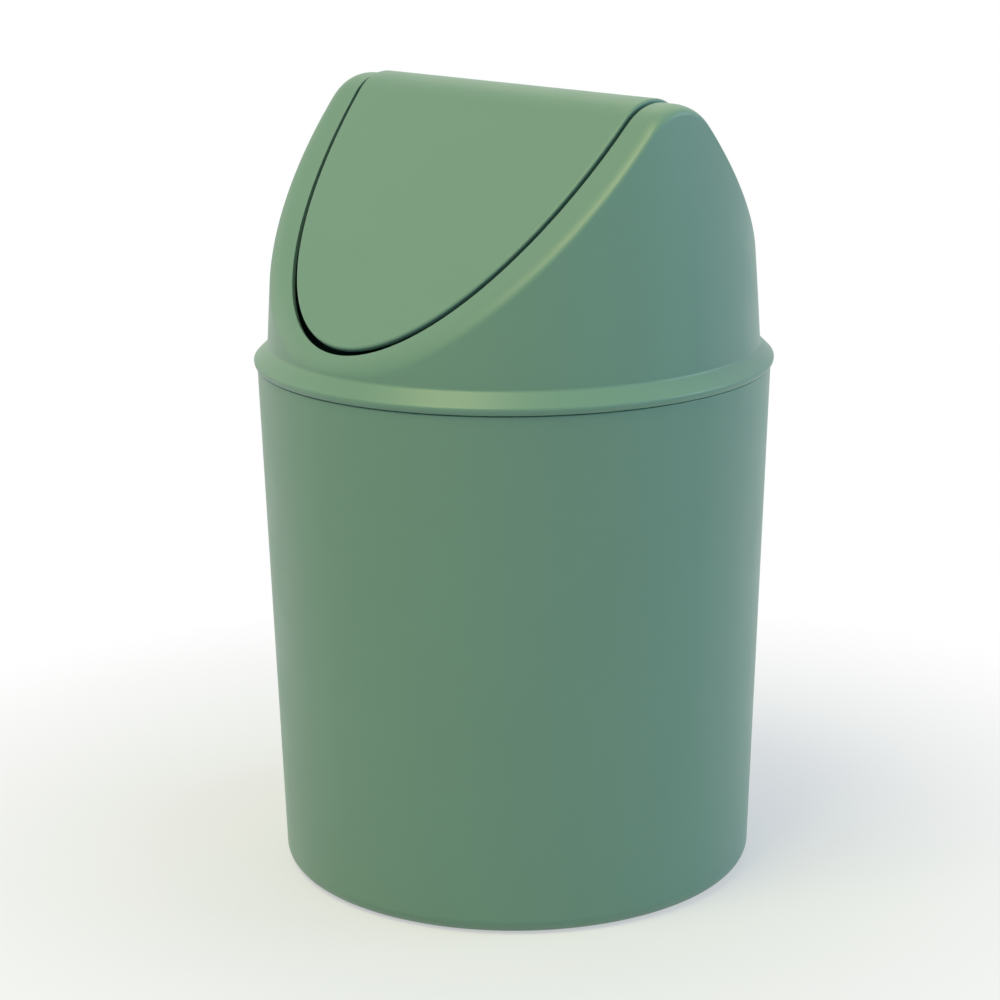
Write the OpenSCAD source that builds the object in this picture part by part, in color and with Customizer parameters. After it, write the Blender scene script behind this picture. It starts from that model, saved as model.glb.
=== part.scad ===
// Countertop trash can with a swing lid: bucket, lift-off hood and balanced saddle flap.
// The front faces -Y, the flap turns about X, and the origin is the centre of the base.

/* [Bucket] */
// Outer radius of the bucket at the table, before its edge is rounded
base_r = 81.3; // [70:0.5:95]
// Outer radius of the bucket at its rim
rim_r = 87; // [76:0.5:100]
// Height of the bucket's rim above the table
bucket_h = 176.1; // [120:1:240]
// Thickness of the bucket's wall
bucket_wall = 1.8; // [1.4:0.1:2.6]
// Thickness of the bucket's floor
floor_t = 2.2; // [1.6:0.1:4]
// Rounding between the bucket's wall and its base
base_edge_r = 5.3; // [3:0.1:9]
// Depth of the recess under the floor, inside the standing ring
base_recess = 1.5; // [0.8:0.1:4]
// Width of the flat ring that the bucket stands on
standing_ring_w = 5; // [3:0.5:9]
// Rounding of the rim's two edges
rim_edge_r = 0.4; // [0.2:0.1:0.6]

/* [Collar] */
// How far the collar's nose stands out past the bucket's rim
collar_overhang = 1.1; // [0.4:0.1:3]
// Height of the collar's nose above its lower lip
nose_h = 1.8; // [1:0.1:3.5]
// Radius of the collar's section above the nose
nose_upper_r = 1.2; // [0.8:0.1:3]
// Radius of the collar's section below the nose
nose_lower_r = 2.6; // [2.4:0.1:9]
// Width of the collar's sloping shoulder, from the nose in to the hood's wall
shoulder_w = 4.7; // [4:0.1:7]
// Slope of the shoulder
shoulder_angle = 44; // [35:1:55]
// Gap between the lip and the rim that carries it
seat_gap = 0.3; // [0.1:0.05:0.6]
// Depth of the skirt inside the bucket
skirt_depth = 10; // [6:0.5:18]
// Radial gap between the skirt and the bucket's wall
skirt_gap = 0.4; // [0.3:0.05:0.8]
// Thickness of the skirt
skirt_wall = 1.6; // [1.2:0.1:2.4]

/* [Hood] */
// Thickness of the hood
hood_wall = 1.9; // [1.5:0.1:2.6]
// Inward lean of the hood's wall
wall_draft = 4.4; // [3:0.1:9]
// Bulge of the hood's wall at half height, past a straight taper
wall_bulge = 0.4; // [0:0.1:2]
// Slope of the roof's front and rear planes
roof_angle = 47.2; // [40:0.1:52]
// Radius of the ridge where the two planes meet
ridge_r = 17; // [10:0.5:26]
// Radius of the soft edge between the roof and the wall, at the cheeks
edge_r = 3.5; // [2:0.5:11]
// The same at the front and the rear
edge_front_r = 11.5; // [4:0.5:14]
// How many times further the soft edge runs over the roof than down the wall
edge_stretch = 2; // [1:0.1:2.5]
// Height of the opening's lowest point above the shoulder
sill_h = 6.6; // [3:0.1:12]
// How far the opening's front and rear ends stay inside the wall's foot
opening_inset = 3.4; // [1.5:0.1:6]
// Width of the roof left beside the opening at the ridge
cheek_w = 11.1; // [9:0.1:15]

/* [Flap] */
// Thickness of the flap
flap_wall = 2; // [1.6:0.1:2.6]
// Gap between the flap's outline and the opening at the pivots, seen from above
flap_gap = 1.6; // [0.9:0.1:2.5]
// The same at the flap's front and rear tips
flap_tip_gap = 1.2; // [0.6:0.1:2.5]
// How far the flap's planes stand proud of the roof
flap_proud = 0.5; // [0.2:0.1:1.2]
// Radius of the flap's ridge
flap_ridge_r = 16.2; // [10:0.5:24]

/* [Pivot] */
// Depth of the pivot axis below the top of the flap
pivot_drop = 14.8; // [13:0.1:18]
// Radius of the stub axles
axle_r = 2.5; // [2:0.1:3.5]
// Radial running clearance of an axle in its bore
running_gap = 0.05; // [0.02:0.01:0.1]
// Length of an axle inside its bore
axle_grip = 6; // [4:0.5:7]
// Gap between an axle's tip and the bottom of its bore
tip_gap = 0.6; // [0.4:0.1:1.2]
// Side play between the flap's hub and the hood's boss
side_play = 0.3; // [0.2:0.05:0.6]
// Thickness of the bearing boss around its bore
boss_wall = 2.4; // [1.6:0.1:3]
// How far the boss's face stays outside the opening's edge
boss_setback = 1.0; // [0.6:0.1:2]
// Thickness of the flap's ears
ear_t = 2; // [1.6:0.1:3]
// Width of an ear where it joins the ridge
ear_w = 15; // [10:0.5:20]
// Thickness of the rib from a boss up to the roof
rib_t = 1.8; // [1.2:0.1:2.4]

/* [Hidden] */
$fn = 96;
sage = [0.47, 0.60, 0.50];
sage_light = [0.52, 0.65, 0.50];

// Steps of the hood's skin: round the axis, over the roof's edge and down the wall
steps_round = 96;
steps_edge = 9;
steps_wall = 3;
// Height above the hood's foot at which the wall's last ring lies
foot_ring_h = 1;
// Steps of an arc drawn in a section, and how far one solid reaches into the next
steps_arc = 10;
bury = 0.6;
embed = 0.2;
// How far a cutting or bounding solid reaches past what it bounds
cut_margin = 1;
// Most of the wall's height that the soft edge may take
edge_share = 0.8;
// Smallest rounding inside a corner, and the step over which a slope is taken
least_round_r = 1;
probe = 1;
// Least width of plain roof between the opening and the soft edge
least_flat = 0.4;

// Heights and radii that the collar gives the hood
lip_z = bucket_h + seat_gap;
nose_z = lip_z + nose_h;
nose_r = rim_r + collar_overhang;
foot_r = nose_r - shoulder_w;
arc_end_r = nose_r - nose_upper_r * (1 - sin(shoulder_angle));
arc_end_z = nose_z + nose_upper_r * cos(shoulder_angle);
foot_z = arc_end_z + (arc_end_r - foot_r) * tan(shoulder_angle);
bucket_slope = (rim_r - base_r) / bucket_h;
skirt_r = rim_r - bucket_wall / cos(atan(bucket_slope)) - bucket_slope * skirt_depth - skirt_gap;

// The roof: its planes meet at the apex, and the ridge rounds them below it
opening_b = foot_r - opening_inset;
apex_z = foot_z + sill_h + opening_b * tan(roof_angle);
ridge_centre_z = apex_z - ridge_r / cos(roof_angle);
ridge_z = ridge_centre_z + ridge_r;
opening_a = wall_r(ridge_z, 0) - cheek_w;

// The flap follows the roof, raised by its proud planes
flap_apex_z = apex_z + flap_proud / cos(roof_angle);
flap_centre_z = flap_apex_z - flap_ridge_r / cos(roof_angle);
flap_top_z = flap_centre_z + flap_ridge_r;
flap_a = opening_a - flap_gap;
flap_b = opening_b - flap_tip_gap;

// The pivot, from the boss's face outwards and the hub's face inwards
pivot_z = flap_top_z - pivot_drop;
bore_r = axle_r + running_gap;
boss_r = bore_r + boss_wall;
boss_face_x = opening_a + boss_setback;
boss_end_x = wall_r(pivot_z, 0) - hood_wall / 2;
bore_end_x = boss_face_x + axle_grip + tip_gap;
hub_face_x = boss_face_x - side_play;
ear_x = flap_a - ear_t / 2;

// Slope of a rounded gable over a distance y from its ridge
function gable_tilt(y, radius) =
    abs(y) < radius * sin(roof_angle) ? asin(abs(y) / radius) : roof_angle;

// Height of a rounded gable over a distance y from its ridge
function gable_z(y, centre_z, radius) =
    abs(y) < radius * sin(roof_angle)
        ? centre_z + sqrt(radius * radius - y * y)
        : centre_z + radius / cos(roof_angle) - abs(y) * tan(roof_angle);

// Height of the roof over a distance y from the ridge, set in by the skin's thickness
function roof_z(y, inset) = gable_z(y, ridge_centre_z, ridge_r - inset);

// Radius of the wall at a height, set in by the skin's thickness
function wall_r(z, inset) =
    let (t = (z - foot_z) / (ridge_z - foot_z))
    foot_r - inset - (z - foot_z) * tan(wall_draft) + 4 * wall_bulge * t * (1 - t);

// Radius at which the roof meets the wall, at a plan angle
function corner_r(angle, inset, r = foot_r, turns = 12) =
    turns == 0 ? r : corner_r(angle, inset, wall_r(roof_z(r * sin(angle), inset), inset), turns - 1);

// Radius of an ellipse at a plan angle
function ellipse_r(a, b, angle) = 1 / sqrt(pow(cos(angle) / a, 2) + pow(sin(angle) / b, 2));

// A point [radius, height] on the conic blend from p0 to p2 whose tangents meet at p1
function blend(p0, p1, p2, weight, t) =
    let (w0 = (1 - t) * (1 - t), w1 = 2 * t * (1 - t) * weight, w2 = t * t)
    (w0 * p0 + w1 * p1 + w2 * p2) / (w0 + w1 + w2);

// Points [radius, height] from a start radius on the roof, over the edge and down to the foot
function skin_section(angle, start_r, inset) =
    let (
        rc = corner_r(angle, inset),
        zc = roof_z(rc * sin(angle), inset),
        drop = atan((roof_z((rc - probe) * sin(angle), inset) - zc) / probe),
        lean = atan((wall_r(zc - probe, inset) - wall_r(zc, inset)) / probe),
        opened = 90 + drop + lean,
        outer_edge_r = edge_r + (edge_front_r - edge_r) * pow(sin(angle), 2),
        round_r = max(outer_edge_r - inset, least_round_r),
        full_reach = round_r / tan(opened / 2),
        reach = min(full_reach, edge_share * (zc - foot_z)),
        r0 = rc - min(edge_stretch * full_reach * cos(drop), rc - start_r - least_flat),
        z2 = zc - reach * cos(lean),
        p0 = [r0, roof_z(r0 * sin(angle), inset)],
        p1 = [rc, zc],
        p2 = [wall_r(z2, inset), z2],
        weight = sin(opened / 2),
        flat = r0 - start_r,
        arc = norm(p1 - p0) + norm(p2 - p1),
        whole = flat + arc,
        ring_z = foot_z + min(foot_ring_h, (z2 - foot_z) / 2)
    )
    concat(
        [for (i = [0 : steps_edge])
            let (u = whole * i / steps_edge)
            u < flat ? [start_r + u, roof_z((start_r + u) * sin(angle), inset)]
                : blend(p0, p1, p2, weight, min((u - flat) / arc, 1))],
        [for (i = [1 : steps_wall])
            let (z = z2 + (ring_z - z2) * i / steps_wall)
            [wall_r(z, inset), z]],
        [[wall_r(foot_z - bury, inset), foot_z - bury]]
    );

// One closed loop of the hood's skin at a plan angle: outside down, then inside up.
// The inner edge lies square under the outer one, so the opening's edge is cut square.
function skin_loop(angle) =
    let (
        edge_radius = ellipse_r(opening_a, opening_b, angle),
        x = edge_radius * cos(angle),
        y = edge_radius * sin(angle),
        inner_y = y - sign(y) * hood_wall * sin(gable_tilt(y, ridge_r)),
        inner_angle = atan2(inner_y, x),
        outside = skin_section(angle, edge_radius, 0),
        inside = skin_section(inner_angle, norm([x, inner_y]), hood_wall)
    )
    concat(
        [for (p = outside) [p[0] * cos(angle), p[0] * sin(angle), p[1]]],
        [for (i = [len(inside) - 1 : -1 : 0])
            let (p = inside[i])
            [p[0] * cos(inner_angle), p[0] * sin(inner_angle), p[1]]]
    );

// An arc's points [radius, height] in a section
function arc(centre_r, centre_z, radius, from, to) =
    [for (i = [0 : steps_arc])
        let (angle = from + (to - from) * i / steps_arc)
        [centre_r + radius * cos(angle), centre_z + radius * sin(angle)]];

// A gable's line from one foot over the ridge to the other: an arc between two straight planes
function gable(centre_z, radius, half_w) =
    let (low = centre_z + radius / cos(roof_angle) - half_w * tan(roof_angle))
    concat(
        [[-half_w, low]],
        [for (i = [0 : 2 * steps_arc])
            let (angle = 90 + roof_angle - roof_angle * i / steps_arc)
            [radius * cos(angle), centre_z + radius * sin(angle)]],
        [[half_w, low]]
    );

module hood_skin() {
    loops = [for (i = [0 : steps_round - 1]) skin_loop(360 * (i + 0.5) / steps_round)];
    n = len(loops[0]);
    points = [for (loop = loops) for (p = loop) p];
    faces = [
        for (i = [0 : steps_round - 1])
            for (j = [0 : n - 1])
                let (
                    i2 = (i + 1) % steps_round,
                    j2 = (j + 1) % n,
                    a = i * n + j,
                    b = i2 * n + j,
                    c = i2 * n + j2,
                    d = i * n + j2
                )
                for (face = [[a, b, c], [a, c, d]]) face
    ];
    polyhedron(points = points, faces = faces, convexity = 6);
}

// The collar, its lip and the skirt, as one turned section
module hood_collar() {
    outer_line = arc_end_r * tan(shoulder_angle) + arc_end_z;
    inner_line = outer_line - hood_wall / cos(shoulder_angle);
    top_r = foot_r - embed;
    top_z = outer_line - top_r * tan(shoulder_angle);
    inside_r = foot_r - hood_wall - embed;
    skirt_in_r = skirt_r - skirt_wall;
    skirt_z = lip_z - skirt_depth;
    lower_angle = -asin(nose_h / nose_lower_r);
    rotate_extrude()
        polygon(concat(
            [[skirt_in_r, skirt_z]],
            [[skirt_r - skirt_wall / 2, skirt_z]],
            [[skirt_r, skirt_z + skirt_wall]],
            [[skirt_r, lip_z]],
            arc(nose_r - nose_lower_r, nose_z, nose_lower_r, lower_angle, 0),
            arc(nose_r - nose_upper_r, nose_z, nose_upper_r, 90 / steps_arc, 90 - shoulder_angle),
            [[top_r, top_z]],
            [[inside_r, top_z]],
            [[inside_r, inner_line - inside_r * tan(shoulder_angle)]],
            [[skirt_in_r, inner_line - skirt_in_r * tan(shoulder_angle)]]
        ));
}

// A bearing boss inside the +X cheek, with a rib up to the roof
module bearing_boss() {
    rib_foot = pivot_z + bore_r + boss_wall / 2;
    rib_top = ridge_z - hood_wall / 2;
    translate([boss_face_x, 0, pivot_z])
        rotate([0, 90, 0])
            cylinder(r = boss_r, h = boss_end_x - boss_face_x);
    translate([boss_face_x, -rib_t / 2, rib_foot])
        cube([boss_end_x - boss_face_x - edge_r, rib_t, rib_top - rib_foot]);
}

module bucket() {
    lean = atan(bucket_slope);
    edge_centre_r = base_r + bucket_slope * base_edge_r - base_edge_r / cos(lean);
    ring_in_r = edge_centre_r - standing_ring_w;
    inner_base_z = base_recess + floor_t;
    inner_edge_r = max(base_edge_r - bucket_wall, least_round_r);
    inner_slope_r = base_r - bucket_wall / cos(lean);
    inner_centre_z = inner_base_z + inner_edge_r;
    inner_centre_r = inner_slope_r + bucket_slope * inner_centre_z - inner_edge_r / cos(lean);
    inner_rim_r = inner_slope_r + bucket_slope * bucket_h;
    color(sage)
        rotate_extrude()
            polygon(concat(
                [[0, base_recess], [ring_in_r - base_recess, base_recess], [ring_in_r, 0]],
                arc(edge_centre_r, base_edge_r, base_edge_r, -90, -lean),
                arc(rim_r - rim_edge_r, bucket_h - rim_edge_r, rim_edge_r, 0, 90),
                arc(inner_rim_r + rim_edge_r, bucket_h - rim_edge_r, rim_edge_r, 90, 180),
                arc(inner_centre_r, inner_centre_z, inner_edge_r, -lean, -90),
                [[0, inner_base_z]]
            ));
}

module lid_hood() {
    color(sage)
        difference() {
            union() {
                hood_skin();
                hood_collar();
                for (side = [0, 1])
                    mirror([side, 0, 0])
                        bearing_boss();
            }
            for (side = [0, 1])
                mirror([side, 0, 0])
                    translate([boss_face_x - cut_margin, 0, pivot_z])
                        rotate([0, 90, 0])
                            cylinder(r = bore_r, h = bore_end_x - boss_face_x + cut_margin);
        }
}

// An ear under the +X end of the ridge, with its hub and stub axle
module flap_ear() {
    hub_r = axle_r + ear_t;
    root_r = flap_ridge_r - flap_wall / 2;
    inner_x = ear_x - ear_t;
    intersection() {
        translate([inner_x, 0, 0])
            rotate([90, 0, 90])
                linear_extrude(ear_t)
                    polygon([
                        [-hub_r, pivot_z], [hub_r, pivot_z],
                        [ear_w / 2, flap_top_z], [-ear_w / 2, flap_top_z]
                    ]);
        translate([inner_x - cut_margin, 0, 0])
            rotate([90, 0, 90])
                linear_extrude(ear_t + 2 * cut_margin)
                    polygon(gable(flap_centre_z, root_r, flap_b));
    }
    translate([inner_x, 0, pivot_z])
        rotate([0, 90, 0])
            cylinder(r = hub_r, h = hub_face_x - inner_x);
    translate([inner_x, 0, pivot_z])
        rotate([0, 90, 0])
            cylinder(r = axle_r, h = boss_face_x + axle_grip - inner_x);
}

// A block with the flap's outline, whose sides stand square to the flap's planes
module flap_block() {
    n = steps_round;
    edge = [for (i = [0 : n - 1])
        let (y = flap_b * sin(360 * i / n))
        [flap_a * cos(360 * i / n), y, gable_z(y, flap_centre_z, flap_ridge_r)]];
    out = [for (p = edge)
        let (tilt = gable_tilt(p[1], flap_ridge_r))
        [0, sign(p[1]) * sin(tilt), cos(tilt)]];
    points = concat(
        [for (i = [0 : n - 1]) edge[i] + cut_margin * out[i]],
        [for (i = [0 : n - 1]) edge[i] - (flap_wall + cut_margin) * out[i]],
        [[0, 0, flap_apex_z + cut_margin], [0, 0, flap_centre_z]]
    );
    sides = [
        for (i = [0 : n - 1])
            let (a = i, b = (i + 1) % n, c = b + n, d = a + n)
            for (face = [[a, b, c], [a, c, d], [2 * n, b, a], [2 * n + 1, d, c]]) face
    ];
    polyhedron(points = points, faces = sides, convexity = 4);
}

module swing_flap() {
    reach = flap_b + 2 * flap_wall;
    outer = gable(flap_centre_z, flap_ridge_r, reach);
    inner = gable(flap_centre_z, flap_ridge_r - flap_wall, reach);
    slab = concat(outer, [for (i = [len(inner) - 1 : -1 : 0]) inner[i]]);
    color(sage_light) {
        intersection() {
            translate([-flap_a - cut_margin, 0, 0])
                rotate([90, 0, 90])
                    linear_extrude(2 * flap_a + 2 * cut_margin)
                        polygon(slab);
            flap_block();
        }
        for (side = [0, 1])
            mirror([side, 0, 0])
                flap_ear();
    }
}

bucket();
lid_hood();
swing_flap();
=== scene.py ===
"""Countertop trash can with a swing lid: fine meshes, satin plastic finishes, studio and camera.

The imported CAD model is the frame. Each of its three pieces is built again here from the same
sizes with finer steps and softened edges, rides on its CAD body and stands for its CAD node.
"""

import logging
import math
from dataclasses import dataclass
from enum import Enum
from typing import Dict, Iterable, List, Sequence, Tuple, Union

import bmesh
import bpy
from mathutils import Matrix, Vector


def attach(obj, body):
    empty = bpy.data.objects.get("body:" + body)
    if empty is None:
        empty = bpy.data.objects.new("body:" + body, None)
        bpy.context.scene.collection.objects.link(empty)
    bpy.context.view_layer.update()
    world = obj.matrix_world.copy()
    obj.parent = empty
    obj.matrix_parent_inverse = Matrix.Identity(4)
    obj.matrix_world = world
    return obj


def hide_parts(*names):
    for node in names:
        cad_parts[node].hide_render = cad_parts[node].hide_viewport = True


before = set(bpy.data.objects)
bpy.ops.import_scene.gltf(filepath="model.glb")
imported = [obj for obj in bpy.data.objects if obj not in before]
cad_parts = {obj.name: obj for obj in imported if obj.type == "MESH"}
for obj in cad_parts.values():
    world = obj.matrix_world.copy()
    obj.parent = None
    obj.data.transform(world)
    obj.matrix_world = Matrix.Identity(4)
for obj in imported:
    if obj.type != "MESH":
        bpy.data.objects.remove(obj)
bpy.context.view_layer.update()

LOG = logging.getLogger("swing_lid_bin")

METRES_PER_MM = 0.001
TINY = 1e-6
SAGE = (121, 158, 139)

Point2 = Tuple[float, float]
Colour = Tuple[float, float, float]


class Body(Enum):
    """The CAD bodies that the pieces ride on."""

    BUCKET = "bucket"
    HOOD = "hood"
    FLAP = "flap"


class Node(Enum):
    """The CAD nodes that the pieces stand for."""

    BUCKET = "bucket"
    HOOD = "lid_hood"
    FLAP = "swing_flap"


class Slot(Enum):
    """The record's material slots."""

    BUCKET = "bucket_plastic"
    HOOD = "hood_plastic"
    FLAP = "flap_plastic"


def blend_point(start: Vector, corner: Vector, end: Vector, t: float) -> Vector:
    """Gives a point of the round that softens a corner.

    Args:
        start: Where the round leaves the first side.
        corner: Where the two sides would meet.
        end: Where the round joins the second side.
        t: Share of the way along the round, from 0 to 1.

    Returns:
        The point, on a circle where both sides are equally long.
    """
    first = start - corner
    second = end - corner
    if min(first.length, second.length) < TINY:
        return start.lerp(end, t)
    weight = math.sin(first.angle(second) / 2)
    w0 = (1 - t) ** 2
    w1 = 2 * t * (1 - t) * weight
    w2 = t * t
    return (start * w0 + corner * w1 + end * w2) / (w0 + w1 + w2)


def round_corner(start: Vector, corner: Vector, end: Vector, steps: int) -> List[Vector]:
    """Gives the points of a corner's round, both ends included.

    Args:
        start: Where the round leaves the first side.
        corner: Where the two sides would meet.
        end: Where the round joins the second side.
        steps: Number of straight steps in the round.

    Returns:
        A list of steps + 1 points.
    """
    return [blend_point(start, corner, end, i / steps) for i in range(steps + 1)]


def arc(centre: Point2, radius: float, start: float, stop: float, steps: int) -> List[Vector]:
    """Gives an arc's points in a section.

    Args:
        centre: Radius and height of the arc's centre.
        radius: The arc's own radius.
        start: First angle, in degrees.
        stop: Last angle, in degrees.
        steps: Number of straight steps.

    Returns:
        Points of radius and height.
    """
    points = []
    for i in range(steps + 1):
        angle = math.radians(start + (stop - start) * i / steps)
        points.append(
            Vector((centre[0] + radius * math.cos(angle), centre[1] + radius * math.sin(angle)))
        )
    return points


def rounded_line(corners: Sequence[Tuple[float, float, float]], steps: int) -> List[Vector]:
    """Gives an open line in a section with each inner corner rounded.

    Args:
        corners: Radius, height and rounding of each corner.
        steps: Number of straight steps in each round.

    Returns:
        Points of radius and height, first and last corner as they are.
    """
    points = [Vector(corners[0][:2])]
    for before, here, after in zip(corners, corners[1:], corners[2:]):
        corner = Vector(here[:2])
        to_start = (Vector(before[:2]) - corner).normalized()
        to_end = (Vector(after[:2]) - corner).normalized()
        reach = here[2] / math.tan(to_start.angle(to_end) / 2)
        points += round_corner(corner + to_start * reach, corner, corner + to_end * reach, steps)
    points.append(Vector(corners[-1][:2]))
    return points


def divide(line: Sequence[Vector], longest: float) -> List[Vector]:
    """Gives a line whose steps are no longer than a length.

    Args:
        line: The points of the line.
        longest: The longest step allowed.

    Returns:
        The same line with points added on its long steps.
    """
    points = [line[0]]
    for a, b in zip(line, line[1:]):
        parts = max(1, math.ceil((b - a).length / longest))
        points += [a.lerp(b, i / parts) for i in range(1, parts + 1)]
    return points


class MeshDraft:
    """Vertices and faces in millimetres, gathered before a mesh is made."""

    def __init__(self) -> None:
        """Starts with nothing in it."""
        self.vertices: List[Vector] = []
        self.faces: List[Tuple[int, ...]] = []

    def row(self, points: Iterable[Vector]) -> List[int]:
        """Adds points and gives their numbers."""
        first = len(self.vertices)
        self.vertices.extend(points)
        return list(range(first, len(self.vertices)))

    def bridge(self, left: Sequence[int], right: Sequence[int], closed: bool = False) -> None:
        """Joins two rows of equal length with four-sided faces.

        Args:
            left: Numbers of the first row's points.
            right: Numbers of the second row's points.
            closed: Whether the rows' last points join their first ones.
        """
        count = len(left)
        for i in range(count if closed else count - 1):
            j = (i + 1) % count
            self.faces.append((left[i], left[j], right[j], right[i]))

    def lathe(self, section: Sequence[Vector], steps: int, place: Matrix = Matrix()) -> None:
        """Turns a section round the Z axis; a point on the axis closes the surface.

        Args:
            section: Points of radius and height.
            steps: Number of steps round the axis.
            place: Where the turned solid goes.
        """
        rows = []
        for point in section:
            if point[0] < TINY:
                rows.append(self.row([place @ Vector((0, 0, point[1]))]))
                continue
            ring = []
            for i in range(steps):
                angle = 2 * math.pi * i / steps
                ring.append(
                    place @ Vector((point[0] * math.cos(angle), point[0] * math.sin(angle), point[1]))
                )
            rows.append(self.row(ring))
        for lower, upper in zip(rows, rows[1:]):
            if len(lower) == 1:
                for i in range(steps):
                    self.faces.append((lower[0], upper[(i + 1) % steps], upper[i]))
            elif len(upper) == 1:
                for i in range(steps):
                    self.faces.append((lower[i], lower[(i + 1) % steps], upper[0]))
            else:
                self.bridge(lower, upper, closed=True)

    def block(self, first: Sequence[float], last: Sequence[float]) -> None:
        """Adds a block between two opposite corners."""
        low = [min(a, b) for a, b in zip(first, last)]
        high = [max(a, b) for a, b in zip(first, last)]
        rings = []
        for x in (low[0], high[0]):
            corners = ((low[1], low[2]), (high[1], low[2]), (high[1], high[2]), (low[1], high[2]))
            rings.append(self.row(Vector((x, y, z)) for y, z in corners))
        self.bridge(rings[1], rings[0], closed=True)
        self.faces.append(tuple(reversed(rings[0])))
        self.faces.append(tuple(rings[1]))

    def make(self, name: str) -> bpy.types.Object:
        """Makes the mesh object, in metres, smooth, facing outwards and linked to the scene.

        Args:
            name: Name of the piece.

        Returns:
            The new object.
        """
        mesh = bpy.data.meshes.new(name)
        points = [tuple(v * METRES_PER_MM) for v in self.vertices]
        mesh.from_pydata(points, [], self.faces)
        mesh.validate()
        shell = bmesh.new()
        shell.from_mesh(mesh)
        bmesh.ops.recalc_face_normals(shell, faces=shell.faces)
        shell.to_mesh(mesh)
        shell.free()
        mesh.shade_smooth()
        mesh.update()
        piece = bpy.data.objects.new(name, mesh)
        bpy.context.scene.collection.objects.link(piece)
        return piece


Input = Union["Signal", bpy.types.NodeSocket, float, Sequence[float]]


class Signal:
    """A socket that takes part in Python arithmetic, each operation adding its Math node."""

    def __init__(self, graph: "ShaderGraph", socket: bpy.types.NodeSocket) -> None:
        """Keeps the socket and the graph that its nodes go into."""
        self.graph = graph
        self.socket = socket

    def _math(self, operation: str, a: Input, b: Input) -> "Signal":
        """Adds one Math node and gives its result."""
        node = self.graph.add("ShaderNodeMath", {"operation": operation}, {0: a, 1: b})
        return Signal(self.graph, node.outputs[0])

    def __add__(self, other: Input) -> "Signal":
        """Self plus other."""
        return self._math("ADD", self, other)

    def __radd__(self, other: Input) -> "Signal":
        """Other plus self."""
        return self._math("ADD", other, self)

    def __sub__(self, other: Input) -> "Signal":
        """Self minus other."""
        return self._math("SUBTRACT", self, other)

    def __rsub__(self, other: Input) -> "Signal":
        """Other minus self."""
        return self._math("SUBTRACT", other, self)

    def __mul__(self, other: Input) -> "Signal":
        """Self times other."""
        return self._math("MULTIPLY", self, other)

    def __rmul__(self, other: Input) -> "Signal":
        """Other times self."""
        return self._math("MULTIPLY", other, self)

    def at_most(self, other: Input) -> "Signal":
        """The smaller of self and other."""
        return self._math("MINIMUM", self, other)


class ShaderGraph:
    """The node tree of a material or world, filled through one method."""

    def __init__(self, tree: bpy.types.NodeTree) -> None:
        """Empties the tree."""
        self.tree = tree
        tree.nodes.clear()

    def add(
        self,
        kind: str,
        settings: Dict[str, object] | None = None,
        inputs: Dict[Union[str, int], Input] | None = None,
    ) -> bpy.types.Node:
        """Adds a node, sets it up and fills its sockets.

        Args:
            kind: The node's type name.
            settings: Properties set first; "stops" fills a ramp with places and colours.
            inputs: Values or links, by socket name or number.

        Returns:
            The new node.
        """
        node = self.tree.nodes.new(kind)
        for name, value in (settings or {}).items():
            if name == "stops":
                self._fill_ramp(node, value)
            else:
                setattr(node, name, value)
        for name, value in (inputs or {}).items():
            source = value.socket if isinstance(value, Signal) else value
            if isinstance(source, bpy.types.NodeSocket):
                self.tree.links.new(source, node.inputs[name])
            else:
                node.inputs[name].default_value = source
        return node

    def signal(self, node: bpy.types.Node, output: Union[str, int] = 0) -> Signal:
        """Wraps one of a node's outputs."""
        return Signal(self, node.outputs[output])

    @staticmethod
    def _fill_ramp(node: bpy.types.Node, stops: Sequence[Tuple[float, float]]) -> None:
        """Sets a ramp's stops to grey levels at places."""
        ramp = node.color_ramp
        for i, (place, level) in enumerate(stops):
            stop = ramp.elements[i] if i < len(ramp.elements) else ramp.elements.new(place)
            stop.position = place
            stop.color = (level, level, level, 1)


def linear(colour: Tuple[int, int, int]) -> Colour:
    """Turns a display colour of 0 to 255 into linear light."""
    parts = [c / 255 for c in colour]
    return tuple(c / 12.92 if c <= 0.04045 else ((c + 0.055) / 1.055) ** 2.4 for c in parts)


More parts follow.
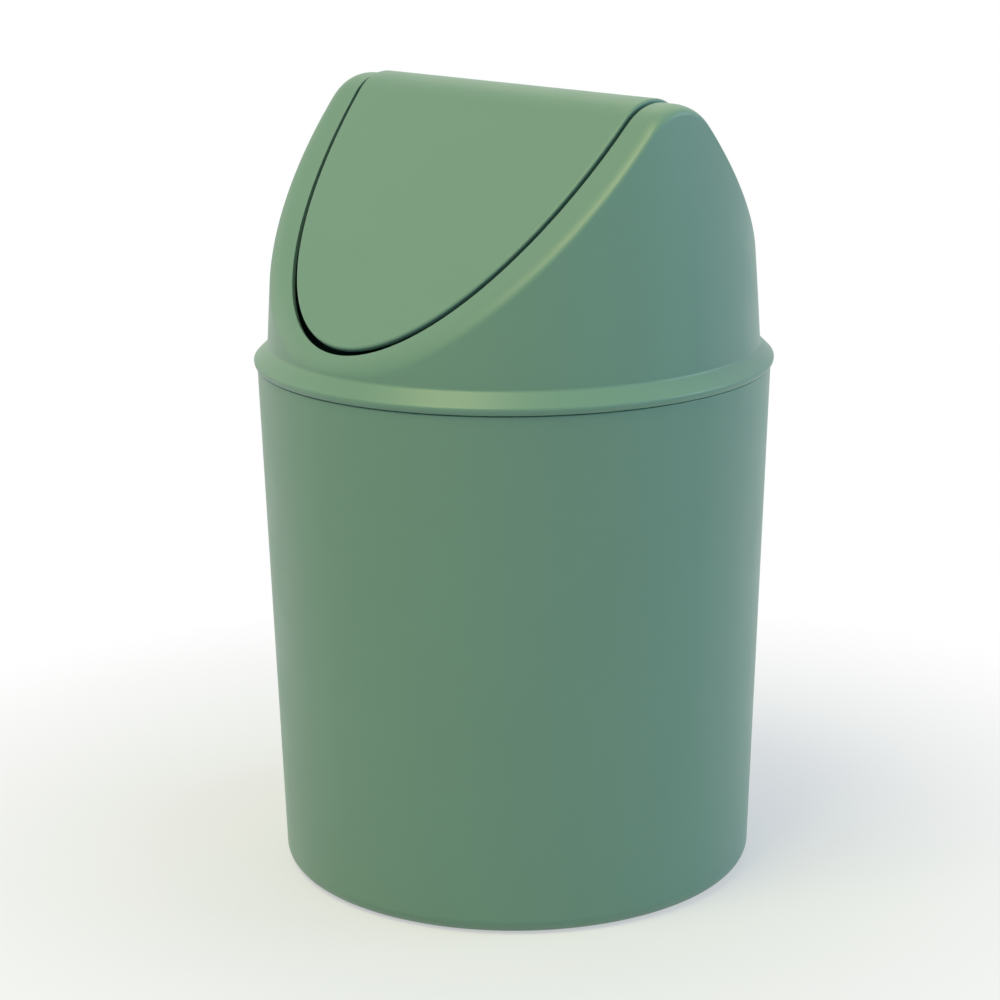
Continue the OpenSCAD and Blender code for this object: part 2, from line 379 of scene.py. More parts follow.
@dataclass(frozen=True)
class SatinPlastic:
    """A moulded polypropylene with a fine satin grain.

    Attributes:
        name: The material's name.
        colour: Display colour, 0 to 255.
        mottle: Share by which the colour wanders.
        mottle_mm: Size of the colour's wander.
        roughness: Middle roughness.
        roughness_wander: How far the roughness wanders each way.
        grain_mm: Size of the satin grain.
        grain_depth_mm: Depth of the satin grain.
        ripple_mm: Size of the moulding's slow ripple.
        ripple_depth_mm: Depth of the ripple.
        ior: Index of refraction.
    """

    name: str
    colour: Tuple[int, int, int]
    mottle: float = 0.035
    mottle_mm: float = 42.0
    roughness: float = 0.40
    roughness_wander: float = 0.05
    grain_mm: float = 0.45
    grain_depth_mm: float = 0.004
    ripple_mm: float = 16.0
    ripple_depth_mm: float = 0.012
    ior: float = 1.49

    def _noise(self, graph: ShaderGraph, place: Signal, size_mm: float, detail: float) -> Signal:
        """Gives a noise of 0 to 1 whose lumps are about one size."""
        node = graph.add(
            "ShaderNodeTexNoise",
            {"noise_dimensions": "3D"},
            {
                "Vector": place,
                "Scale": 1 / (size_mm * METRES_PER_MM),
                "Detail": detail,
                "Roughness": 0.5,
            },
        )
        return graph.signal(node, "Fac")

    def make(self) -> bpy.types.Material:
        """Builds the material.

        Returns:
            The new material.
        """
        material = bpy.data.materials.new(self.name)
        material.use_nodes = True
        graph = ShaderGraph(material.node_tree)
        place = graph.signal(graph.add("ShaderNodeTexCoord"), "Object")
        cloud = self._noise(graph, place, self.mottle_mm, 3.0)
        grain = self._noise(graph, place, self.grain_mm, 2.0)
        ripple = self._noise(graph, place, self.ripple_mm, 1.0)
        base = linear(self.colour)
        dark = tuple(c * (1 - self.mottle) for c in base)
        light = tuple(min(c * (1 + self.mottle), 1.0) for c in base)
        tint = graph.add(
            "ShaderNodeMix",
            {"data_type": "RGBA"},
            {"Factor": cloud, 6: (*dark, 1), 7: (*light, 1)},
        )
        wander = (cloud + ripple - 1.0) * (2 * self.roughness_wander)
        roughness = wander + self.roughness + (grain - 0.5) * self.roughness_wander
        height = grain * self.grain_depth_mm + ripple * self.ripple_depth_mm
        bump = graph.add(
            "ShaderNodeBump",
            None,
            {"Strength": 1.0, "Distance": METRES_PER_MM, "Height": height},
        )
        shader = graph.add(
            "ShaderNodeBsdfPrincipled",
            None,
            {
                "Base Color": graph.signal(tint, 2),
                "Roughness": roughness,
                "Normal": graph.signal(bump),
                "IOR": self.ior,
            },
        )
        graph.add("ShaderNodeOutputMaterial", None, {"Surface": shader.outputs[0]})
        return material


def dress(
    piece: bpy.types.Object, finish: SatinPlastic, body: Body, node: Node
) -> bpy.types.Object:
    """Gives a piece its finish and its place in the frame.

    Args:
        piece: The mesh object.
        finish: Its plastic.
        body: The CAD body that it rides on.
        node: The CAD node that it stands for.

    Returns:
        The same piece.
    """
    piece.data.materials.append(finish.make())
    even = piece.modifiers.new("even_shading", "WEIGHTED_NORMAL")
    even.mode = "FACE_AREA"
    even.weight = 50
    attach(piece, body.value)
    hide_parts(node.value)
    LOG.info("%s: %d faces on body %s", piece.name, len(piece.data.polygons), body.value)
    return piece


@dataclass
class Bucket:
    """The tapered bucket with its recessed base and plain rim. Sizes in millimetres."""

    base_r: float = 81.3
    rim_r: float = 87.0
    height: float = 176.1
    wall: float = 1.8
    floor_t: float = 2.2
    base_edge_r: float = 5.3
    base_recess: float = 1.5
    standing_ring_w: float = 5.0
    rim_edge_r: float = 0.4
    ring_inner_r: float = 0.8
    ring_edge_r: float = 0.5
    longest_step: float = 6.0
    steps_round: int = 256
    steps_edge: int = 10
    steps_small: int = 4

    @property
    def slope(self) -> float:
        """Widening of the bucket per millimetre of height."""
        return (self.rim_r - self.base_r) / self.height

    def section(self) -> List[Vector]:
        """Gives the bucket's section from the middle of its underside to that of its floor."""
        lean = math.degrees(math.atan(self.slope))
        cos_lean = math.cos(math.radians(lean))
        edge_centre_r = self.base_r + self.slope * self.base_edge_r - self.base_edge_r / cos_lean
        ring_in_r = edge_centre_r - self.standing_ring_w
        floor_z = self.base_recess + self.floor_t
        inner_edge_r = self.base_edge_r - self.wall
        inner_slope_r = self.base_r - self.wall / cos_lean
        inner_z = floor_z + inner_edge_r
        inner_r = inner_slope_r + self.slope * inner_z - inner_edge_r / cos_lean
        inner_rim_r = inner_slope_r + self.slope * self.height
        under = rounded_line(
            [
                (0, self.base_recess, 0),
                (ring_in_r - self.base_recess, self.base_recess, self.ring_inner_r),
                (ring_in_r, 0, self.ring_edge_r),
                (edge_centre_r, 0, 0),
            ],
            self.steps_small,
        )
        edge = self.rim_edge_r
        rim_z = self.height - edge
        return divide(
            under
            + arc((edge_centre_r, self.base_edge_r), self.base_edge_r, -90, -lean, self.steps_edge)[1:]
            + arc((self.rim_r - edge, rim_z), edge, 0, 90, self.steps_small)
            + arc((inner_rim_r + edge, rim_z), edge, 90, 180, self.steps_small)
            + arc((inner_r, inner_z), inner_edge_r, -lean, -90, self.steps_edge)
            + [Vector((0, floor_z))],
            self.longest_step,
        )

    def build(self) -> bpy.types.Object:
        """Builds the bucket's mesh."""
        draft = MeshDraft()
        draft.lathe(self.section(), self.steps_round)
        return draft.make("bucket_shell")


@dataclass
class LidHood:
    """The lift-off hood: collar, wall, roof, opening and bearing bosses. Sizes in millimetres."""

    bucket: Bucket
    collar_overhang: float = 1.1
    nose_h: float = 1.8
    nose_upper_r: float = 1.2
    nose_lower_r: float = 2.6
    shoulder_w: float = 4.7
    shoulder_angle: float = math.radians(44)
    seat_gap: float = 0.3
    skirt_depth: float = 10.0
    skirt_gap: float = 0.4
    skirt_wall: float = 1.6
    wall: float = 1.9
    wall_draft: float = math.radians(4.4)
    wall_bulge: float = 0.4
    roof_angle: float = math.radians(47.2)
    ridge_r: float = 17.0
    edge_r: float = 3.5
    edge_front_r: float = 11.5
    edge_stretch: float = 2.0
    edge_share: float = 0.8
    least_edge_r: float = 1.0
    least_flat: float = 0.4
    sill_h: float = 6.6
    opening_inset: float = 3.4
    cheek_w: float = 11.1
    pivot_z: float = 254.533
    bore_r: float = 2.55
    boss_wall: float = 2.4
    boss_setback: float = 1.0
    bore_depth: float = 6.6
    rib_t: float = 1.8
    opening_edge_r: float = 0.25
    foot_fillet_r: float = 0.6
    lip_edge_r: float = 0.25
    skirt_edge_r: float = 0.3
    collar_inner_r: float = 0.5
    lip_step: float = 1.2
    corner_tries: int = 12
    steps_round: int = 288
    steps_edge: int = 40
    steps_wall: int = 18
    steps_bore: int = 64

    def __post_init__(self) -> None:
        """Works out the sizes that follow from the others."""
        self.lip_z = self.bucket.height + self.seat_gap
        self.nose_z = self.lip_z + self.nose_h
        self.nose_r = self.bucket.rim_r + self.collar_overhang
        self.foot_r = self.nose_r - self.shoulder_w
        arc_end_r = self.nose_r - self.nose_upper_r * (1 - math.sin(self.shoulder_angle))
        arc_end_z = self.nose_z + self.nose_upper_r * math.cos(self.shoulder_angle)
        self.shoulder_line = arc_end_r * math.tan(self.shoulder_angle) + arc_end_z
        self.foot_z = self.shoulder_line - self.foot_r * math.tan(self.shoulder_angle)
        self.opening_b = self.foot_r - self.opening_inset
        self.apex_z = self.foot_z + self.sill_h + self.opening_b * math.tan(self.roof_angle)
        self.ridge_centre_z = self.apex_z - self.ridge_r / math.cos(self.roof_angle)
        self.ridge_z = self.ridge_centre_z + self.ridge_r
        self.opening_a = self.wall_at(self.ridge_z, 0) - self.cheek_w
        lean = math.atan(self.bucket.slope)
        self.skirt_r = (
            self.bucket.rim_r
            - self.bucket.wall / math.cos(lean)
            - self.bucket.slope * self.skirt_depth
            - self.skirt_gap
        )
        self.skirt_end_r = self.skirt_r - 0.75 * self.skirt_wall

    def roof_at(self, y: float, inset: float) -> float:
        """Height of the roof at a distance from the ridge, set in by a thickness."""
        radius = self.ridge_r - inset
        if abs(y) < radius * math.sin(self.roof_angle):
            return self.ridge_centre_z + math.sqrt(radius * radius - y * y)
        plane = self.apex_z - inset / math.cos(self.roof_angle)
        return plane - abs(y) * math.tan(self.roof_angle)

    def wall_at(self, z: float, inset: float) -> float:
        """Radius of the wall at a height, set in by a thickness."""
        t = (z - self.foot_z) / (self.ridge_z - self.foot_z)
        drafted = self.foot_r - inset - (z - self.foot_z) * math.tan(self.wall_draft)
        return drafted + 4 * self.wall_bulge * t * (1 - t)

    def corner_at(self, angle: float, inset: float) -> float:
        """Radius at which the roof meets the wall, at a plan angle."""
        radius = self.foot_r
        for _ in range(self.corner_tries):
            radius = self.wall_at(self.roof_at(radius * math.sin(angle), inset), inset)
        return radius

    def skin_section(self, angle: float, start_r: float, inset: float) -> List[Vector]:
        """Gives the skin's section from the opening over the soft edge and down to the foot.

        Args:
            angle: Plan angle, in radians.
            start_r: Radius at which the opening's edge lies.
            inset: How far inside the outer surface this section runs.

        Returns:
            Points of radius and height, as many at every angle.
        """
        sine = math.sin(angle)
        rc = self.corner_at(angle, inset)
        zc = self.roof_at(rc * sine, inset)
        drop = math.atan(self.roof_at((rc - 1) * sine, inset) - zc)
        lean = math.atan(self.wall_at(zc - 1, inset) - self.wall_at(zc, inset))
        opened = math.pi / 2 + drop + lean
        outer_r = self.edge_r + (self.edge_front_r - self.edge_r) * sine * sine
        full_reach = max(outer_r - inset, self.least_edge_r) / math.tan(opened / 2)
        reach = min(full_reach, self.edge_share * (zc - self.foot_z))
        over = min(self.edge_stretch * full_reach * math.cos(drop), rc - start_r - self.least_flat)
        r0 = rc - over
        z2 = zc - reach * math.cos(lean)
        p0 = Vector((r0, self.roof_at(r0 * sine, inset)))
        p1 = Vector((rc, zc))
        p2 = Vector((self.wall_at(z2, inset), z2))
        flat = r0 - start_r
        length = (p1 - p0).length + (p2 - p1).length
        points = []
        for i in range(self.steps_edge + 1):
            u = (flat + length) * i / self.steps_edge
            if u < flat:
                radius = start_r + u
                points.append(Vector((radius, self.roof_at(radius * sine, inset))))
            else:
                points.append(blend_point(p0, p1, p2, min((u - flat) / length, 1)))
        last_z = self.foot_z + self.foot_fillet_r
        for i in range(1, self.steps_wall + 1):
            z = z2 + (last_z - z2) * i / self.steps_wall
            points.append(Vector((self.wall_at(z, inset), z)))
        return points

    def collar_outside(self) -> List[Vector]:
        """Gives the collar's section from the wall's foot over the nose to the skirt's lower end."""
        angle = math.degrees(self.shoulder_angle)
        lower = -math.degrees(math.asin(self.nose_h / self.nose_lower_r))
        foot = Vector((self.foot_r, self.foot_z))
        down = Vector((math.cos(self.shoulder_angle), -math.sin(self.shoulder_angle)))
        wall_top = Vector(
            (self.wall_at(self.foot_z + self.foot_fillet_r, 0), self.foot_z + self.foot_fillet_r)
        )
        fillet = round_corner(wall_top, foot, foot + down * self.foot_fillet_r, 5)[1:]
        upper_arc = arc(
            (self.nose_r - self.nose_upper_r, self.nose_z), self.nose_upper_r, 90 - angle, 0, 8
        )
        lower_arc = arc(
            (self.nose_r - self.nose_lower_r, self.nose_z), self.nose_lower_r, 0, lower, 10
        )[1:-1]
        lip_r = self.nose_r - self.nose_lower_r * (1 - math.cos(math.radians(lower)))
        skirt_z = self.lip_z - self.skirt_depth
        under = rounded_line(
            [
                (*lower_arc[-1], 0),
                (lip_r, self.lip_z, self.lip_edge_r),
                (self.skirt_r, self.lip_z, self.lip_edge_r),
                (self.skirt_r, skirt_z + self.skirt_wall, self.skirt_edge_r),
                (self.skirt_r - self.skirt_wall / 2, skirt_z, self.lip_edge_r),
                (self.skirt_end_r, skirt_z, 0),
            ],
            3,
        )[1:]
        return fillet + divide(upper_arc + lower_arc + under, self.lip_step)

    def collar_inside(self) -> List[Vector]:
        """Gives the collar's section from the skirt's lower end up its inside to the wall."""
        inner_line = self.shoulder_line - self.wall / math.cos(self.shoulder_angle)
        skirt_in = self.skirt_r - self.skirt_wall
        skirt_z = self.lip_z - self.skirt_depth
        slope = math.tan(self.shoulder_angle)
        top_z = self.foot_z + self.foot_fillet_r
        wall_r = self.wall_at(top_z, self.wall)
        return divide(
            rounded_line(
                [
                    (self.skirt_end_r, skirt_z, 0),
                    (skirt_in, skirt_z, self.lip_edge_r),
                    (skirt_in, inner_line - skirt_in * slope, self.collar_inner_r),
                    (wall_r, inner_line - wall_r * slope, self.collar_inner_r),
                    (wall_r, top_z, 0),
                ],
                3,
            ),
            self.lip_step,
        )[1:-1]

    def loop(self, angle: float) -> List[Vector]:
        """Gives one closed loop of the hood at a plan angle.

        Args:
            angle: Plan angle of the outer surface, in radians.

        Returns:
            Points from the opening's outer edge down outside, under the lip and up inside.
        """
        edge_radius = 1 / math.hypot(math.cos(angle) / self.opening_a, math.sin(angle) / self.opening_b)
        x = edge_radius * math.cos(angle)
        y = edge_radius * math.sin(angle)
        tilt = self.roof_angle
        if abs(y) < self.ridge_r * math.sin(self.roof_angle):
            tilt = math.asin(abs(y) / self.ridge_r)
        inner_y = y - math.copysign(self.wall * math.sin(tilt), y)
        inner_angle = math.atan2(inner_y, x)
        inner_radius = math.hypot(x, inner_y)
        round_w = self.opening_edge_r / math.hypot(1, math.sin(angle) * math.tan(tilt))
        outside = self.skin_section(angle, edge_radius + round_w, 0)
        inside = self.skin_section(inner_angle, inner_radius + round_w, self.wall)
        outer = [self._turned(p, angle) for p in outside + self.collar_outside()]
        inner = [self._turned(p, inner_angle) for p in self.collar_inside()]
        inner += [self._turned(p, inner_angle) for p in reversed(inside)]
        top = Vector((x, y, self.roof_at(y, 0)))
        low = Vector((x, inner_y, self.roof_at(inner_y, self.wall)))
        cut = (low - top).normalized() * self.opening_edge_r
        edge = round_corner(inner[-1], low, low - cut, 4) + round_corner(top + cut, top, outer[0], 6)
        return edge + outer[1:] + inner[:-1]

    @staticmethod
    def _turned(point: Vector, angle: float) -> Vector:
        """Turns a section's point to its plan angle."""
        return Vector((point[0] * math.cos(angle), point[0] * math.sin(angle), point[1]))

    def add_boss(self, draft: MeshDraft, side: int) -> None:
        """Adds one bearing boss with its blind bore, and the rib up to the roof.

        Args:
            draft: The hood's mesh.
            side: 1 for the cheek on +X, -1 for the one on -X.
        """
        face_x = self.opening_a + self.boss_setback
        end_x = self.wall_at(self.pivot_z, 0) - self.wall / 2
        boss_r = self.bore_r + self.boss_wall
        length = end_x - face_x
        section = rounded_line(
            [
                (0, self.bore_depth, 0),
                (self.bore_r, self.bore_depth, 0.2),
                (self.bore_r, 0, 0.35),
                (boss_r, 0, 0.5),
                (boss_r, length, 0.2),
                (0, length, 0),
            ],
            4,
        )
        turn = Matrix.Rotation(math.radians(90), 4, "Y")
        place = Matrix.Translation((face_x, 0, self.pivot_z)) @ turn
        if side < 0:
            place = Matrix.Scale(-1, 4, (1, 0, 0)) @ place
        draft.lathe(section, self.steps_bore, place)
        rib_foot = self.pivot_z + self.bore_r + self.boss_wall / 2
        rib_top = self.ridge_z - self.wall / 2
        draft.block(
            (side * face_x, -self.rib_t / 2, rib_foot),
            (side * (end_x - self.edge_r), self.rib_t / 2, rib_top),
        )

    def build(self) -> bpy.types.Object:
        """Builds the hood's mesh."""
        draft = MeshDraft()
        rows = []
        for i in range(self.steps_round):
            rows.append(draft.row(self.loop(2 * math.pi * (i + 0.5) / self.steps_round)))
        for i, row in enumerate(rows):
            draft.bridge(row, rows[(i + 1) % len(rows)], closed=True)
        for side in (1, -1):
            self.add_boss(draft, side)
        return draft.make("lid_hood_shell")


@dataclass
class SwingFlap:
    """The saddle flap with its ears, hubs and stub axles. Sizes in millimetres."""

    hood: LidHood
    wall: float = 2.0
    gap: float = 1.6
    tip_gap: float = 1.2
    proud: float = 0.5
    ridge_r: float = 16.2
    axle_r: float = 2.5
    axle_grip: float = 6.0
    side_play: float = 0.3
    ear_t: float = 2.0
    ear_w: float = 15.0
    edge_r: float = 0.9
    inner_edge_r: float = 0.3
    ear_margin: float = 0.5
    steps_ridge: int = 36
    steps_plane: int = 64
    steps_across: int = 48
    steps_axle: int = 64
    steps_ear_foot: int = 12
    steps_ear_top: int = 8

    def __post_init__(self) -> None:
        """Works out the sizes that follow from the others."""
        cosine = math.cos(self.hood.roof_angle)
        self.apex_z = self.hood.apex_z + self.proud / cosine
        self.centre_z = self.apex_z - self.ridge_r / cosine
        self.half_x = self.hood.opening_a - self.gap
        self.half_y = self.hood.opening_b - self.tip_gap
        self.ridge_y = self.ridge_r * math.sin(self.hood.roof_angle)

    def height_at(self, y: float, inset: float) -> float:
        """Height of the flap at a distance from the ridge, set in by a thickness."""
        radius = self.ridge_r - inset
        if abs(y) < radius * math.sin(self.hood.roof_angle):
            return self.centre_z + math.sqrt(radius * radius - y * y)
        plane = self.apex_z - inset / math.cos(self.hood.roof_angle)
        return plane - abs(y) * math.tan(self.hood.roof_angle)

    def row_angles(self) -> List[float]:
        """Outline angles of the mesh's rows, close together over the ridge and at the tips."""
        rows = []
        for i in range(self.steps_ridge + 1):
            tilt = self.hood.roof_angle * (2 * i / self.steps_ridge - 1)
            rows.append(math.asin(self.ridge_r * math.sin(tilt) / self.half_y))
        start = rows[-1]
        tips = []
        for i in range(1, self.steps_plane):
            tips.append(start + (math.pi / 2 - start) * i / self.steps_plane)
        return [-a for a in reversed(tips)] + rows + tips

    def rim(self, angle: float, share: float, inset: float, margin: float) -> Vector:
        """Gives a point near the flap's edge, which is cut square to the flap's planes.

        Args:
            angle: Outline angle, in radians.
            share: Place across the row, -1 at the left edge and 1 at the right one.
            inset: Depth under the outer surface.
            margin: Distance from the edge, along the surface.

        Returns:
            The point.
        """
        y = self.half_y * math.sin(angle)
        tilt = math.asin(abs(y) / self.ridge_r) if abs(y) < self.ridge_y else self.hood.roof_angle
        normal = Vector((0, math.copysign(math.sin(tilt), y), math.cos(tilt)))
        plan = Vector((share * math.cos(angle) / self.half_x, math.sin(angle) / self.half_y, 0))
        outward = (plan - normal * plan.dot(normal)).normalized()
        corner = Vector((share * self.half_x * math.cos(angle), y, self.height_at(y, 0)))
        return corner - normal * inset - outward * margin

    def skin(self, draft: MeshDraft, margin: float, inset: float, up: bool) -> List[int]:
        """Adds the outer or the inner surface of the saddle.

        Args:
            draft: The flap's mesh.
            margin: How far inside the flap's edge the surface ends.
            inset: How far under the outer surface it lies.
            up: Whether its faces look up.

        Returns:
            The numbers of its border's points, in order round the flap.
        """
        grid = []
        for angle in self.row_angles():
            end = self.rim(angle, 1, inset, margin)
            points = []
            for k in range(self.steps_across + 1):
                points.append(Vector((end.x * (2 * k / self.steps_across - 1), end.y, end.z)))
            grid.append(draft.row(points))
        for lower, upper in zip(grid, grid[1:]):
            if up:
                draft.bridge(lower, upper)
            else:
                draft.bridge(upper, lower)
        right = [row[-1] for row in grid]
        left = [row[0] for row in grid]
        return grid[0] + right[1:-1] + grid[-1][::-1] + left[-2:0:-1]

    def border(self) -> List[Tuple[float, float]]:
        """Gives the outline angle and share of each border point, in the order of skin."""
        angles = self.row_angles()
        shares = [2 * k / self.steps_across - 1 for k in range(self.steps_across + 1)]
        front = [(angles[0], share) for share in shares]
        right = [(angle, 1.0) for angle in angles[1:-1]]
        rear = [(angles[-1], share) for share in reversed(shares)]
        left = [(angle, -1.0) for angle in reversed(angles[1:-1])]
        return front + right + rear + left

    def add_saddle(self, draft: MeshDraft) -> None:
        """Adds the curved shell with its softened square edge."""
        outer = self.skin(draft, self.edge_r, 0, True)
        inner = self.skin(draft, self.inner_edge_r, self.wall, False)
        columns = []
        for top, low, (angle, share) in zip(outer, inner, self.border()):
            side_top = self.rim(angle, share, self.edge_r, 0)
            side_low = self.rim(angle, share, self.wall - self.inner_edge_r, 0)
            corner = self.rim(angle, share, 0, 0)
            floor = self.rim(angle, share, self.wall, 0)
            upper = round_corner(draft.vertices[top], corner, side_top, 6)[1:]
            lower = round_corner(side_low, floor, draft.vertices[low], 4)[:-1]
            columns.append([top] + draft.row(upper + lower) + [low])
        for i, column in enumerate(columns):
            draft.bridge(columns[(i + 1) % len(columns)], column)

    def add_ear(self, draft: MeshDraft, side: int) -> None:
        """Adds the ear, hub and stub axle at one end of the ridge.

        Args:
            draft: The flap's mesh.
            side: 1 for the +X end, -1 for the -X end.
        """
        pivot_z = self.hood.pivot_z
        hub_r = self.axle_r + self.ear_t
        face_x = self.hood.opening_a + self.hood.boss_setback
        ear_out = self.half_x - self.ear_t / 2
        ear_in = ear_out - self.ear_t
        root_x = ear_out - self.ear_t / 4
        hub_end = face_x - self.side_play - root_x
        tip_end = face_x + self.axle_grip - root_x
        section = rounded_line(
            [
                (0, 0, 0),
                (hub_r, 0, 0.3),
                (hub_r, hub_end, 0.4),
                (self.axle_r, hub_end, 0.3),
                (self.axle_r, tip_end, 0.6),
                (0, tip_end, 0),
            ],
            4,
        )
        turn = Matrix.Rotation(math.radians(90), 4, "Y")
        mirror = Matrix.Scale(-1, 4, (1, 0, 0)) if side < 0 else Matrix()
        place = mirror @ Matrix.Translation((root_x, 0, pivot_z)) @ turn
        draft.lathe(section, self.steps_axle, place)
        root_z = self.centre_z + self.ridge_r - self.wall / 2
        outline = []
        for i in range(self.steps_ear_foot + 1):
            angle = math.radians(180 + 180 * i / self.steps_ear_foot)
            outline.append((hub_r * math.cos(angle), pivot_z + hub_r * math.sin(angle)))
        half_w = self.ear_w / 2 - self.ear_margin
        for i in range(self.steps_ear_top + 1):
            y = half_w * (1 - 2 * i / self.steps_ear_top)
            outline.append((y, self.height_at(y, self.wall / 2)))
        plates = []
        for x in (ear_in, ear_out):
            plates.append(draft.row(mirror @ Vector((x, y, min(z, root_z))) for y, z in outline))
        draft.bridge(plates[0], plates[1], closed=True)
        draft.faces.append(tuple(plates[0]))
        draft.faces.append(tuple(reversed(plates[1])))

    def build(self) -> bpy.types.Object:
        """Builds the flap's mesh."""
        draft = MeshDraft()
        self.add_saddle(draft)
        for side in (1, -1):
            self.add_ear(draft, side)
        return draft.make("swing_flap_shell")


@dataclass(frozen=True)
class Lamp:
    """A soft rectangular lamp aimed at the middle of the bin.

    Attributes:
        name: The lamp's name.
        azimuth: Where it stands round the bin, in degrees from the camera, left negative.
        elevation: Height above the horizon, in degrees.
        distance: From the bin's middle, in metres.
        width: Of the lamp's face, in metres.
        height: Of the lamp's face, in metres.
        power: In watts.
        colour: Linear tint.
    """

    name: str
    azimuth: float
    elevation: float
    distance: float
    width: float
    height: float
    power: float
    colour: Colour = (1.0, 1.0, 1.0)


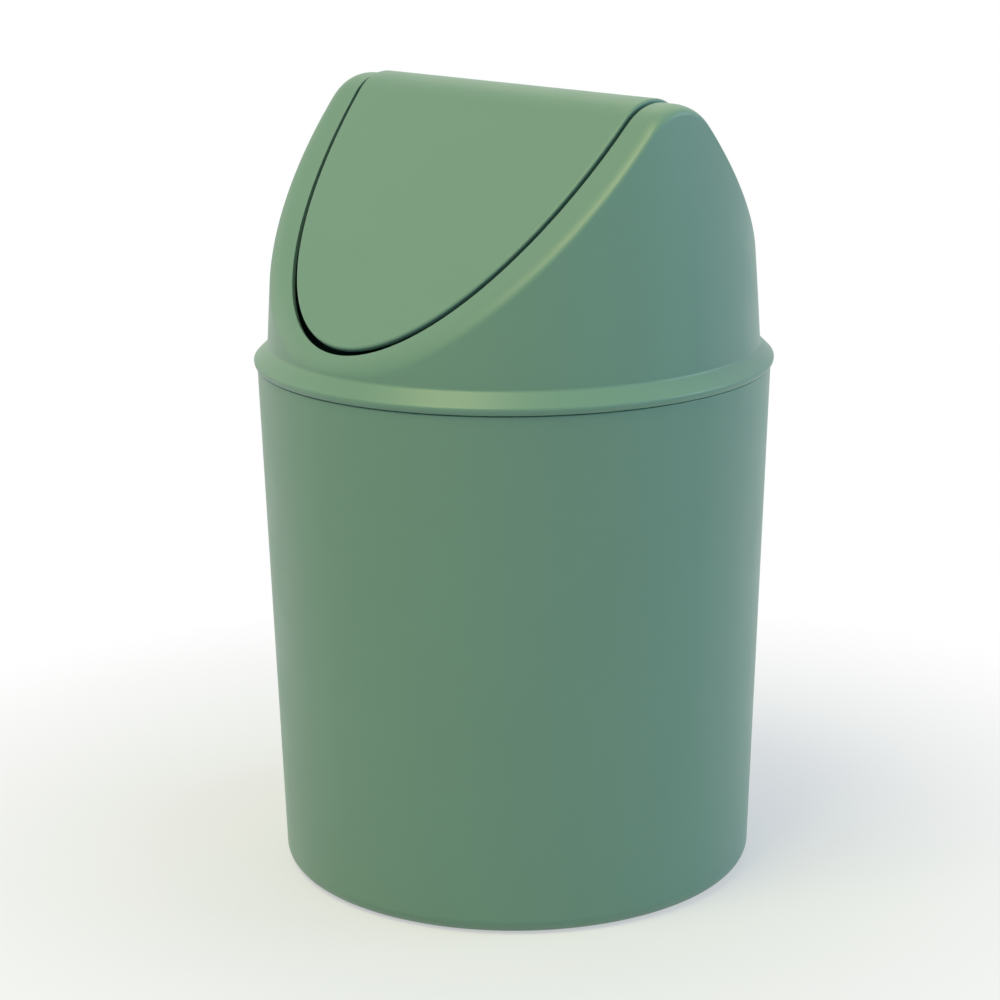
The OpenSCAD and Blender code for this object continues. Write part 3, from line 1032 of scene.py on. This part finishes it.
@dataclass
class Studio:
    """A pale floor, soft lamps, a white surround and the camera at the photograph's angle."""

    camera_azimuth: float = 45.95
    camera_distance: float = 0.9141
    camera_height: float = 0.3685
    camera_pitch: float = 0.2588
    camera_yaw: float = -0.0056
    camera_roll: float = -0.0085
    focal_px: float = 2739.9
    frame_px: float = 1000.0
    sensor_mm: float = 36.0
    aim_height: float = 0.14
    floor_radius: float = 2.5
    floor_grey: float = 0.75
    floor_fade: Tuple[Tuple[float, float], ...] = ((0.08, 0.5), (0.30, 1.0))
    clip_start: float = 0.01
    ambient: Colour = (0.07, 0.135, 0.26)
    lamps: Tuple[Lamp, ...] = (
        Lamp("key_softbox", -44, 60, 3.0, 1.6, 1.6, 58.0, (1.0, 0.96, 0.46)),
        Lamp("left_softbox", -118, 14, 3.0, 1.2, 1.8, 5.0, (1.0, 0.96, 0.7)),
        Lamp("right_softbox", 90, 22, 3.0, 1.6, 1.6, 28.0, (0.6, 0.84, 1.0)),
        Lamp("fill_softbox", 45, 25, 3.0, 1.6, 1.6, 6.0, (0.3, 0.8, 1.0)),
        Lamp("rear_softbox", 170, 50, 3.0, 2.0, 1.4, 10.0, (1.0, 0.95, 0.5)),
    )

    def add_camera(self) -> bpy.types.Object:
        """Adds the camera and makes it the scene's own."""
        pitch, yaw, roll = self.camera_pitch, self.camera_yaw, self.camera_roll
        forward = Vector(
            (math.cos(pitch) * math.sin(yaw), math.cos(pitch) * math.cos(yaw), -math.sin(pitch))
        )
        right = Vector((math.cos(yaw), -math.sin(yaw), 0))
        up = Vector(
            (math.sin(pitch) * math.sin(yaw), math.sin(pitch) * math.cos(yaw), math.cos(pitch))
        )
        level = right * math.cos(roll) + up * math.sin(roll)
        upright = up * math.cos(roll) - right * math.sin(roll)
        axes = Matrix((level, upright, -forward)).transposed().to_4x4()
        stand = Matrix.Translation((0, -self.camera_distance, self.camera_height))
        around = Matrix.Rotation(math.radians(self.camera_azimuth), 4, "Z")
        data = bpy.data.cameras.new("photo_camera")
        data.sensor_width = self.sensor_mm
        data.lens = self.focal_px / self.frame_px * self.sensor_mm
        data.clip_start = self.clip_start
        camera = bpy.data.objects.new("photo_camera", data)
        camera.matrix_world = around @ stand @ axes
        bpy.context.scene.collection.objects.link(camera)
        bpy.context.scene.camera = camera
        return camera

    def add_lamp(self, lamp: Lamp) -> bpy.types.Object:
        """Adds one lamp, aimed at the middle of the bin."""
        data = bpy.data.lights.new(lamp.name, "AREA")
        data.shape = "RECTANGLE"
        data.size = lamp.width
        data.size_y = lamp.height
        data.energy = lamp.power
        data.color = lamp.colour
        angle = math.radians(self.camera_azimuth + lamp.azimuth)
        rise = math.radians(lamp.elevation)
        out = Vector(
            (math.sin(angle) * math.cos(rise), -math.cos(angle) * math.cos(rise), math.sin(rise))
        )
        light = bpy.data.objects.new(lamp.name, data)
        light.location = Vector((0, 0, self.aim_height)) + out * lamp.distance
        light.rotation_mode = "QUATERNION"
        light.rotation_quaternion = out.to_track_quat("Z", "Y")
        bpy.context.scene.collection.objects.link(light)
        return light

    @staticmethod
    def seen_directly(graph: ShaderGraph) -> Signal:
        """Gives 1 for camera, glossy and transmission rays and 0 for the light that falls on things."""
        path = graph.add("ShaderNodeLightPath")
        rays = [graph.signal(path, f"Is {kind} Ray") for kind in ("Camera", "Glossy", "Transmission")]
        return (rays[0] + rays[1] + rays[2]).at_most(1.0)

    def add_world(self) -> None:
        """Adds the white surround and the ambient light."""
        world = bpy.data.worlds.new("white_surround")
        world.use_nodes = True
        graph = ShaderGraph(world.node_tree)
        soft = graph.add("ShaderNodeBackground", None, {"Color": (*self.ambient, 1), "Strength": 1.0})
        white = graph.add("ShaderNodeBackground", None, {"Color": (1, 1, 1, 1), "Strength": 1.0})
        mix = graph.add(
            "ShaderNodeMixShader",
            None,
            {0: self.seen_directly(graph), 1: soft.outputs[0], 2: white.outputs[0]},
        )
        graph.add("ShaderNodeOutputWorld", None, {"Surface": mix.outputs[0]})
        bpy.context.scene.world = world

    def add_floor(self) -> bpy.types.Object:
        """Adds the pale floor, which fades into the white surround away from the bin."""
        draft = MeshDraft()
        edge = self.floor_radius / METRES_PER_MM
        draft.lathe([Vector((0, 0)), Vector((edge / 4, 0)), Vector((edge, 0))], 96)
        floor = draft.make("studio_floor")
        material = bpy.data.materials.new("pale_floor")
        material.use_nodes = True
        graph = ShaderGraph(material.node_tree)
        place = graph.signal(graph.add("ShaderNodeTexCoord"), "Object")
        away = graph.add("ShaderNodeVectorMath", {"operation": "LENGTH"}, {0: place})
        fade = graph.add(
            "ShaderNodeValToRGB",
            {"stops": self.floor_fade},
            {"Fac": graph.signal(away, "Value")},
        )
        matt = graph.add("ShaderNodeBsdfDiffuse", None, {"Color": (*[self.floor_grey] * 3, 1)})
        white = graph.add("ShaderNodeEmission", None, {"Color": (1, 1, 1, 1), "Strength": 1.0})
        share = graph.signal(fade) * self.seen_directly(graph)
        mix = graph.add(
            "ShaderNodeMixShader", None, {0: share, 1: matt.outputs[0], 2: white.outputs[0]}
        )
        graph.add("ShaderNodeOutputMaterial", None, {"Surface": mix.outputs[0]})
        floor.data.materials.append(material)
        return floor

    def build(self) -> None:
        """Builds the whole studio."""
        bpy.context.scene.view_settings.view_transform = "Standard"
        self.add_camera()
        self.add_world()
        self.add_floor()
        for lamp in self.lamps:
            self.add_lamp(lamp)
        LOG.info("studio: camera, floor and %d lamps", len(self.lamps))


def main() -> None:
    """Builds the studio and the three pieces in order."""
    logging.basicConfig(level=logging.INFO, format="%(name)s %(message)s")
    Studio().build()
    bucket = Bucket()
    hood = LidHood(bucket)
    flap = SwingFlap(hood)
    dress(bucket.build(), SatinPlastic("sage_bucket", SAGE), Body.BUCKET, Node.BUCKET)
    dress(hood.build(), SatinPlastic("sage_hood", SAGE), Body.HOOD, Node.HOOD)
    dress(flap.build(), SatinPlastic("sage_flap", SAGE), Body.FLAP, Node.FLAP)


if __name__ == "__main__":
    main()
